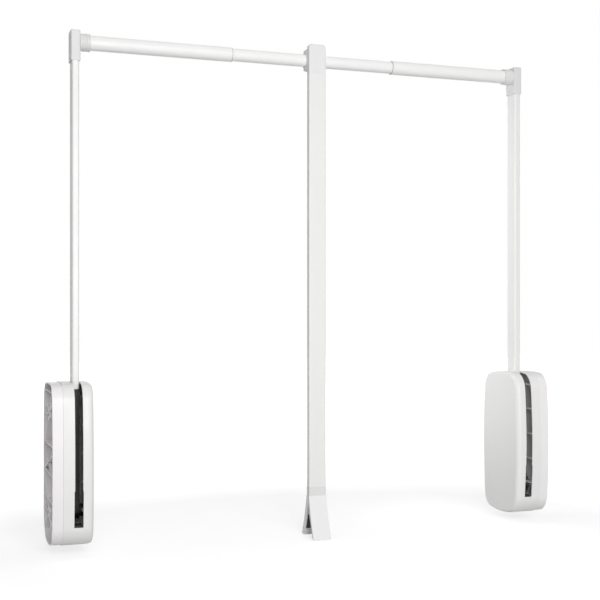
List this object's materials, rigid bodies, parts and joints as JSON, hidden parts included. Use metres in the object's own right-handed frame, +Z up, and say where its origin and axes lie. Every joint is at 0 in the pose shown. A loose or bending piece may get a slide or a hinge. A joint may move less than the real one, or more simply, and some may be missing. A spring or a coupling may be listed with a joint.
{
  "type": "pull down closet rod",
  "caption": "Pull-down closet rod: telescopic hanging rod on two arms that swing down out of damped spring boxes on the side walls, with a hanging pull bar.",
  "frame": {"origin": "middle of the left box's four wall screws, on the face that lies against the left wall", "axes": "+X from the left wall to the right wall along the rod, +Y to the back of the wardrobe, +Z up"},
  "size_m": [0.924, 0.136, 0.88],
  "materials": {
    "white_plastic": "white moulded ABS, soft gloss",
    "grey_white_plastic": "greyish white moulded ABS",
    "white_steel": "white powder coat on steel tube",
    "black_casting": "black coated aluminium die casting",
    "zinc_gear": "zinc die casting, as cast",
    "grey_nylon": "natural grey nylon",
    "rubber": "black rubber",
    "spring_steel": "oiled spring wire",
    "bright_steel": "bright zinc-plated steel"
  },
  "bodies": {
    "left_housing": {"left_base_housing": "white_plastic", "left_cover_shell": "white_plastic", "left_cover_screws": "bright_steel", "left_pivot_axle": "bright_steel", "left_upright_stop": "rubber", "left_lowered_stop": "rubber", "left_rack_guide": "grey_nylon", "left_damper_cylinder": "bright_steel", "left_damper_anchor_pin": "bright_steel"},
    "left_rack": {"left_rack": "grey_nylon", "left_lift_spring": "spring_steel", "left_damper_rod": "bright_steel"},
    "left_arm": {"left_arm_foot": "black_casting", "left_pinion": "zinc_gear", "left_pivot_bushes": "grey_nylon", "left_foot_pins": "white_steel", "left_arm_tube": "white_steel", "left_rod_bracket": "white_plastic", "left_rod_plug": "grey_nylon", "left_rod_screw": "bright_steel", "left_bracket_cap": "white_plastic", "left_rod_collar": "white_plastic", "left_outer_tube": "white_steel", "left_tube_glide": "grey_nylon"},
    "right_housing": {"right_base_housing": "white_plastic", "right_cover_shell": "white_plastic", "right_cover_screws": "bright_steel", "right_pivot_axle": "bright_steel", "right_upright_stop": "rubber", "right_lowered_stop": "rubber", "right_rack_guide": "grey_nylon", "right_damper_cylinder": "bright_steel", "right_damper_anchor_pin": "bright_steel"},
    "right_rack": {"right_rack": "grey_nylon", "right_lift_spring": "spring_steel", "right_damper_rod": "bright_steel"},
    "right_arm": {"right_arm_foot": "black_casting", "right_pinion": "zinc_gear", "right_pivot_bushes": "grey_nylon", "right_foot_pins": "white_steel", "right_arm_tube": "white_steel", "right_rod_bracket": "white_plastic", "right_rod_plug": "grey_nylon", "right_rod_screw": "bright_steel", "right_bracket_cap": "white_plastic", "right_rod_collar": "white_plastic", "right_outer_tube": "white_steel", "right_tube_glide": "grey_nylon"},
    "centre_tube": {"centre_tube": "white_steel"},
    "handle": {"handle_head": "white_plastic", "handle_clamp_back": "white_plastic", "clamp_screws": "bright_steel", "pull_bar": "white_steel", "grip_core": "grey_white_plastic", "grip_front_leg": "white_plastic", "grip_back_leg": "white_plastic", "grip_screws": "bright_steel"}
  },
  "joints": [
    {"name": "arm_swing", "type": "hinge", "parent": "left_housing", "child": "left_arm", "pos_m": [0.0424, -0.0105, -0.0805], "axis": [1, 0, 0], "range_deg": [0, 92], "stiffness_Nm_per_rad": 25, "springref_deg": -45.84},
    {"name": "left_rack_slide", "type": "slide", "parent": "left_housing", "child": "left_rack", "axis": [0, 0, 1], "range_m": [0, 0.0322], "deforming": ["left_lift_spring"]},
    {"name": "left_telescope", "type": "slide", "parent": "left_arm", "child": "centre_tube", "axis": [1, 0, 0], "range_m": [-0.047, 0.113]},
    {"name": "right_telescope", "type": "slide", "parent": "centre_tube", "child": "right_arm", "axis": [1, 0, 0], "range_m": [-0.047, 0.113]},
    {"name": "handle_swing", "type": "hinge", "parent": "centre_tube", "child": "handle", "pos_m": [0.467, -0.0105, 0.7019], "axis": [1, 0, 0], "range_deg": [-120, 45]},
    {"name": "right_housing_level", "type": "hinge", "parent": "right_arm", "child": "right_housing", "pos_m": [0.8816, -0.0105, -0.0805], "axis": [1, 0, 0], "range_deg": [-92, 0]},
    {"name": "right_rack_slide", "type": "slide", "parent": "right_housing", "child": "right_rack", "axis": [0, 0, 1], "range_m": [0, 0.0322], "deforming": ["right_lift_spring"]}
  ],
  "couplings": [
    {"joint": "left_rack_slide", "follows": "arm_swing", "m_per_rad": 0.02},
    {"joint": "right_housing_level", "follows": "arm_swing", "ratio": -1},
    {"joint": "right_rack_slide", "follows": "arm_swing", "m_per_rad": 0.02}
  ]
}
